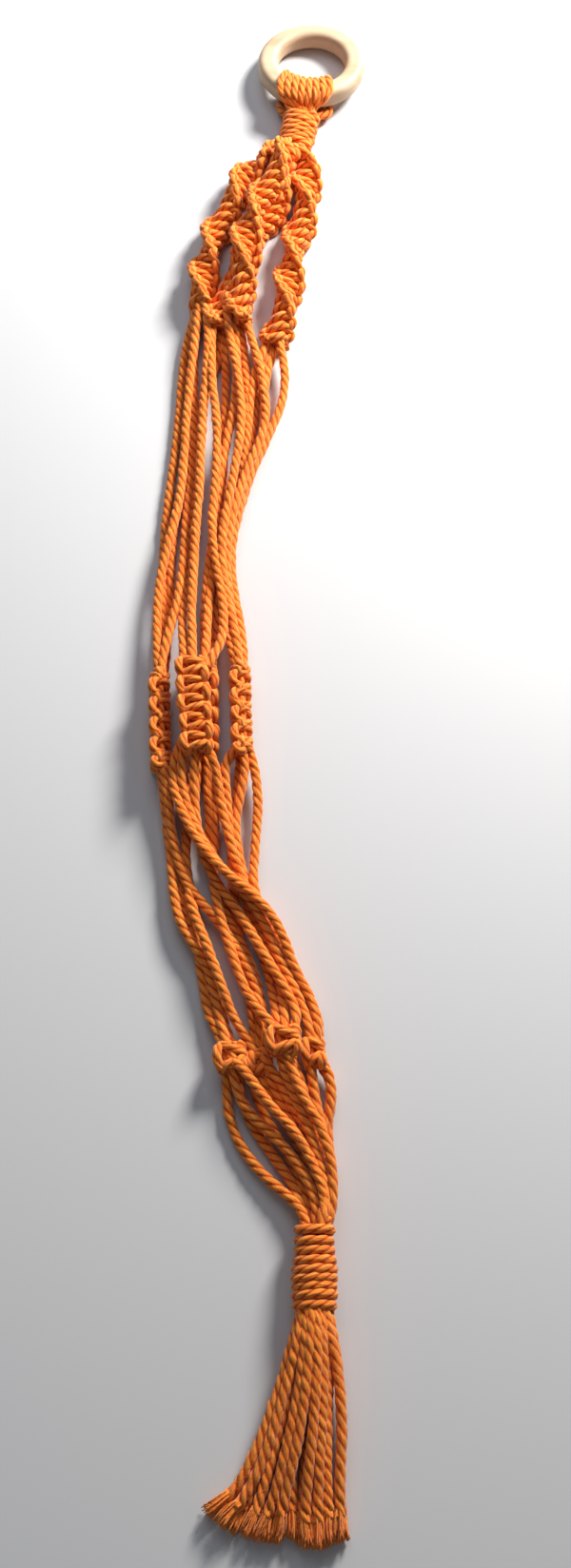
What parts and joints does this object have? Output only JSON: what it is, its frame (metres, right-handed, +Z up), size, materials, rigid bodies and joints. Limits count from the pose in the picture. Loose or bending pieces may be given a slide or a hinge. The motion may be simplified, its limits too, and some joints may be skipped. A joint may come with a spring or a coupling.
{
  "type": "hanging macrame planter",
  "caption": "Hanging plant holder of knotted cotton cord on a wooden ring, with spiral and flat knotted lengths, an open net for the pot and a gathered tassel",
  "frame": {"origin": "on the resting plane, under the middle of the planter's box as it lies collapsed", "axes": "+Y runs from the tassel to the ring, +X is to the right seen from above with the ring at the far end, +Z is up from the resting plane"},
  "size_m": [0.102, 0.7297, 0.0227],
  "materials": {
    "beech": "untreated, sanded",
    "cotton_cord": "three-ply twisted cotton, matt"
  },
  "bodies": {
    "neck": {"neck_bundle": "cotton_cord", "top_wrap": "cotton_cord", "ring_loops": "cotton_cord", "left_spiral": "cotton_cord", "front_spiral": "cotton_cord", "rear_spiral": "cotton_cord", "right_spiral": "cotton_cord", "left_upper_cords": "cotton_cord", "front_upper_cords": "cotton_cord", "rear_upper_cords": "cotton_cord", "right_upper_cords": "cotton_cord"},
    "ring": {"ring": "beech"},
    "upper_knots": {"left_sennit": "cotton_cord", "front_sennit": "cotton_cord", "rear_sennit": "cotton_cord", "right_sennit": "cotton_cord", "left_middle_cords": "cotton_cord", "front_middle_cords": "cotton_cord", "rear_middle_cords": "cotton_cord", "right_middle_cords": "cotton_cord"},
    "lower_knots": {"left_knot": "cotton_cord", "front_knot": "cotton_cord", "rear_knot": "cotton_cord", "right_knot": "cotton_cord", "left_lower_cords": "cotton_cord", "front_lower_cords": "cotton_cord", "rear_lower_cords": "cotton_cord", "right_lower_cords": "cotton_cord"},
    "tassel_knot": {"bottom_wrap": "cotton_cord", "tassel_bundle": "cotton_cord"},
    "tassel": {"tassel_neck": "cotton_cord", "tassel_strand_01": "cotton_cord", "tassel_strand_02": "cotton_cord", "tassel_strand_03": "cotton_cord", "tassel_strand_04": "cotton_cord", "tassel_strand_05": "cotton_cord", "tassel_strand_06": "cotton_cord", "tassel_strand_07": "cotton_cord", "tassel_strand_08": "cotton_cord", "tassel_strand_09": "cotton_cord", "tassel_strand_10": "cotton_cord", "tassel_strand_11": "cotton_cord", "tassel_strand_12": "cotton_cord", "tassel_strand_13": "cotton_cord", "tassel_strand_14": "cotton_cord", "tassel_strand_15": "cotton_cord", "tassel_strand_16": "cotton_cord"}
  },
  "joints": [
    {"name": "ring_tilt", "type": "hinge", "parent": "neck", "child": "ring", "pos_m": [0.0234, 0.31503, 0.01001], "axis": [1, 0, 0], "range_deg": [0, 95], "deforming": ["ring_loops"]},
    {"name": "net_fold_upper", "type": "hinge", "parent": "neck", "child": "upper_knots", "pos_m": [-0.015, 0.085, 0.006], "axis": [-1, 0, 0], "range_deg": [0, 90], "deforming": ["left_upper_cords", "front_upper_cords", "rear_upper_cords", "right_upper_cords"]},
    {"name": "net_sway", "type": "hinge", "parent": "upper_knots", "child": "lower_knots", "pos_m": [-0.018, -0.11, 0.006], "axis": [0, 0, 1], "range_deg": [-20, 20], "deforming": ["left_middle_cords", "front_middle_cords", "rear_middle_cords", "right_middle_cords"]},
    {"name": "net_fold_lower", "type": "hinge", "parent": "lower_knots", "child": "tassel_knot", "pos_m": [0.012, -0.216, 0.006], "axis": [-1, 0, 0], "range_deg": [0, 60], "deforming": ["left_lower_cords", "front_lower_cords", "rear_lower_cords", "right_lower_cords"]},
    {"name": "tassel_swing", "type": "hinge", "parent": "tassel_knot", "child": "tassel", "pos_m": [0.0213, -0.281, 0.0078], "axis": [0, 0, 1], "range_deg": [-25, 25], "deforming": ["tassel_neck"]}
  ]
}
